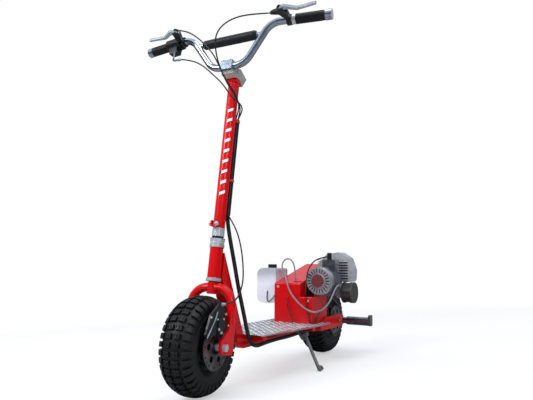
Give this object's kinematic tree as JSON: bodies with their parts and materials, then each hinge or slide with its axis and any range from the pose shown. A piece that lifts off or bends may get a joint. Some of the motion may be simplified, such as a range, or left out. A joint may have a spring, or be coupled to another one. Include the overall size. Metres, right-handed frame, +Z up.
{
  "type": "petrol stand-up scooter",
  "caption": "Stand-up scooter on knobbly tyres with a small petrol engine over the rear wheel, tread-plate deck, tall handlebar and side stand.",
  "frame": {"origin": "on the floor under the middle of the box, the scooter leaning on its stand", "axes": "+X forward, +Y to the rider's left, +Z up"},
  "size_m": [1.0706, 0.6578, 1.11],
  "materials": {
    "red_paint": "gloss",
    "tyre_rubber": "matt",
    "rim_black": "satin",
    "disc_steel": "satin",
    "bright_steel": "satin",
    "chrome": "polished",
    "tread_plate": "bright",
    "lever_silver": "bright",
    "bracket_grey": "satin",
    "hose_grey": "satin",
    "cable_black": "satin",
    "cast_alloy": "cast",
    "engine_silver": "polished",
    "black_plastic": "satin",
    "black_metal": "satin",
    "stand_steel": "satin",
    "tank_plastic": "translucent",
    "grip_rubber": "matt",
    "pad_foam": "matt"
  },
  "bodies": {
    "frame": {"rear_axle": "bright_steel", "head_tube": "red_paint", "bearing_cups": "bright_steel", "main_frame": "red_paint", "deck_plate": "tread_plate", "wheel_housing": "red_paint", "foot_pegs": "black_metal", "fuel_tank": "tank_plastic", "tank_cap": "black_plastic", "engine_block": "cast_alloy", "recoil_starter": "cast_alloy", "spark_plug": "black_plastic", "engine_shroud": "engine_silver", "carburettor": "cast_alloy", "air_filter": "black_plastic", "rear_caliper": "black_metal", "drive_sprocket": "disc_steel", "drive_chain": "disc_steel", "stand_bracket": "stand_steel", "cable_loom_lower": "cable_black", "fuel_hose": "hose_grey", "ignition_coil": "black_plastic", "engine_wires": "cable_black"},
    "steering": {"front_axle": "bright_steel", "fork": "red_paint", "lock_nut": "bright_steel", "stem": "red_paint", "stem_head": "bracket_grey", "bar_clamp": "chrome", "handlebar": "chrome", "bar_pad": "pad_foam", "grip_left": "grip_rubber", "grip_right": "grip_rubber", "brake_lever_left": "lever_silver", "brake_lever_right": "lever_silver", "throttle_housing": "black_plastic", "front_caliper": "black_metal", "lever_perch_left": "black_metal", "lever_perch_right": "black_metal", "grip_cap_left": "chrome", "grip_cap_right": "chrome", "control_cables": "cable_black", "cable_loom_upper": "cable_black"},
    "front_wheel": {"front_tyre": "tyre_rubber", "front_rim": "rim_black", "front_disc": "disc_steel"},
    "rear_wheel": {"rear_tyre": "tyre_rubber", "rear_rim": "rim_black", "rear_disc": "disc_steel", "rear_sprocket": "disc_steel"},
    "side_stand": {"side_stand": "stand_steel"}
  },
  "joints": [
    {"name": "steering", "type": "hinge", "parent": "frame", "child": "steering", "pos_m": [0.36685, -0.06758, 0.12795], "axis": [-0.1392, 0.0691, 0.9879], "range_deg": [-39.5, 30.5]},
    {"name": "front_wheel_spin", "type": "hinge", "parent": "steering", "child": "front_wheel", "pos_m": [0.40239, -0.06441, 0.13273], "axis": [-0.0777, 0.9937, -0.0804], "continuous": true},
    {"name": "rear_wheel_spin", "type": "hinge", "parent": "frame", "child": "rear_wheel", "pos_m": [-0.4025, -0.06723, 0.13295], "axis": [0, 0.9976, -0.0698], "continuous": true},
    {"name": "stand_fold", "type": "hinge", "parent": "frame", "child": "side_stand", "pos_m": [-0.0465, 0.02935, 0.10915], "axis": [0, 0.864, 0.5035], "range_deg": [0, 96]}
  ]
}
